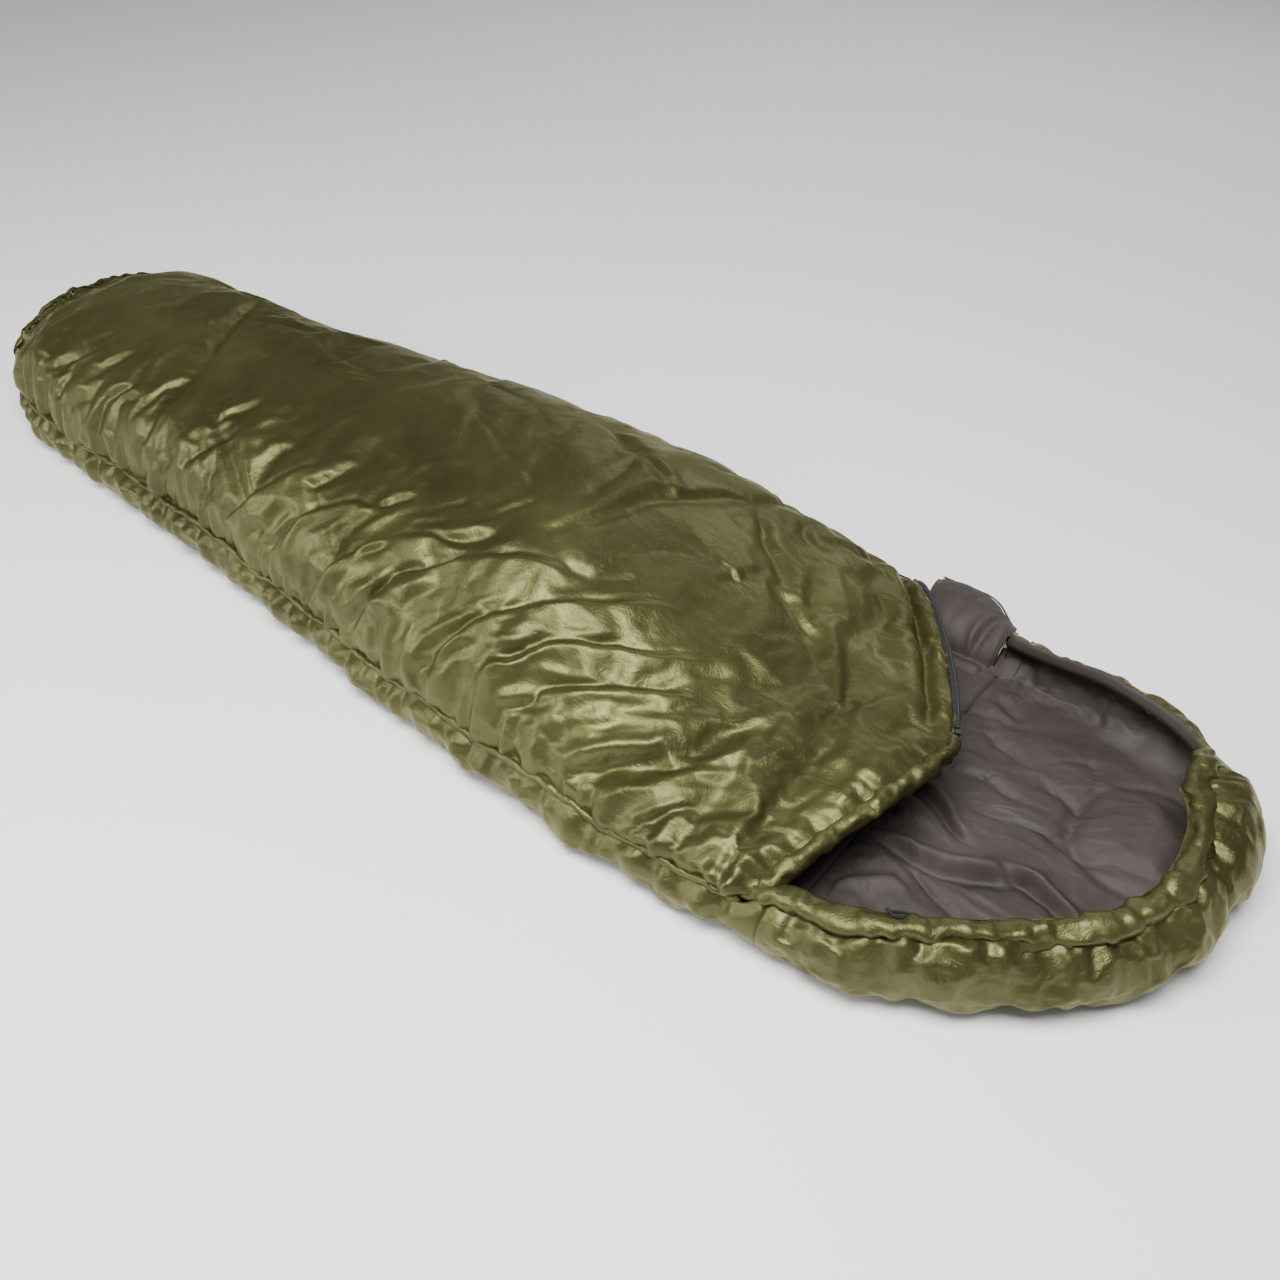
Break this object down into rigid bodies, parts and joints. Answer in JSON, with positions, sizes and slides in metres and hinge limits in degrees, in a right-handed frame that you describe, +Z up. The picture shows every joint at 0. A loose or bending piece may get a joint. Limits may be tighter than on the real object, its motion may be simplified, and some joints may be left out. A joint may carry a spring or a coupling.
{
  "type": "bivy sack",
  "caption": "Mummy-shaped padded bivy sack, laid out: olive shell, taupe lining, side zip open at the hood, drawcord hood and foot loop.",
  "frame": {"origin": "middle of the footprint, on the surface the bag lies on", "axes": "+X from foot to hood, +Z up, +Y to the side with the zip"},
  "size_m": [2.32, 0.7628, 0.2435],
  "materials": {
    "olive_shell": "shiny thin woven nylon, wrinkled, satin sheen",
    "olive_trim": "satin woven nylon, sewn hem",
    "taupe_lining": "matt brushed polyester",
    "white_fill": "loose polyester wadding",
    "black_webbing": "woven webbing, tape and braided cord",
    "black_coil": "nylon zip coil",
    "black_plastic": "moulded acetal, fine grain",
    "dark_metal": "black-nickel zinc die casting",
    "spring_steel": "bright spring wire"
  },
  "bodies": {
    "bag": {"base_fill": "white_fill", "base_lining": "taupe_lining", "base_shell": "olive_shell", "cover_fill": "white_fill", "cover_lining": "taupe_lining", "cover_shell": "olive_shell", "cover_zip_coil": "black_coil", "cover_zip_stop": "dark_metal", "cover_zip_tape": "black_webbing", "draught_tube": "olive_trim", "drawcord_knot": "black_webbing", "drawcord_tail": "black_webbing", "foot_fill": "white_fill", "foot_lining": "taupe_lining", "foot_shell": "olive_shell", "hood_channel": "olive_trim", "hood_drawcord": "black_webbing", "hood_fill": "white_fill", "hood_lining": "taupe_lining", "hood_shell": "olive_shell", "neck_hem": "olive_trim", "side_seam_piping": "olive_trim", "zip_bottom_stop": "dark_metal", "zip_coil_lower": "black_coil", "zip_coil_upper": "black_coil", "zip_edge_roll": "olive_trim", "zip_tape_lower": "black_webbing", "zip_tape_upper": "black_webbing"},
    "zip_slider": {"zip_slider": "dark_metal"},
    "zip_pull": {"zip_pull": "dark_metal"},
    "flap": {"flap_fill": "white_fill", "flap_lining": "taupe_lining", "flap_shell": "olive_shell", "flap_zip_coil": "black_coil", "flap_zip_stop": "dark_metal", "flap_zip_tape": "black_webbing"},
    "cord_lock": {"cord_lock_body": "black_plastic", "cord_lock_spring": "spring_steel"},
    "cord_lock_plunger": {"cord_lock_plunger": "black_plastic"},
    "foot_loop": {"foot_loop": "black_webbing"}
  },
  "joints": [
    {"name": "zip_slide", "type": "slide", "parent": "bag", "child": "zip_slider", "axis": [-1, 0, 0], "range_m": [0, 0.4]},
    {"name": "zip_pull_swing", "type": "hinge", "parent": "zip_slider", "child": "zip_pull", "pos_m": [0.56554, 0.28392, 0.07238], "axis": [0, 0, -1], "range_deg": [0, 120]},
    {"name": "flap_fold", "type": "hinge", "parent": "bag", "child": "flap", "pos_m": [0.61454, 0.24127, 0.021], "axis": [1, 0, 0], "range_deg": [0, 40]},
    {"name": "cord_lock_slide", "type": "slide", "parent": "bag", "child": "cord_lock", "axis": [-1, 0, 0], "range_m": [0, 0.01]},
    {"name": "cord_lock_press", "type": "slide", "parent": "cord_lock", "child": "cord_lock_plunger", "axis": [0, -1, 0], "range_m": [0, 0.004], "stiffness_N_per_m": 300, "deforming": ["cord_lock_spring"]},
    {"name": "foot_loop_swing", "type": "hinge", "parent": "bag", "child": "foot_loop", "pos_m": [-1.13196, -0.01073, 0.1], "axis": [0, 1, 0], "range_deg": [-30, 30], "stiffness_Nm_per_rad": 0.02}
  ]
}
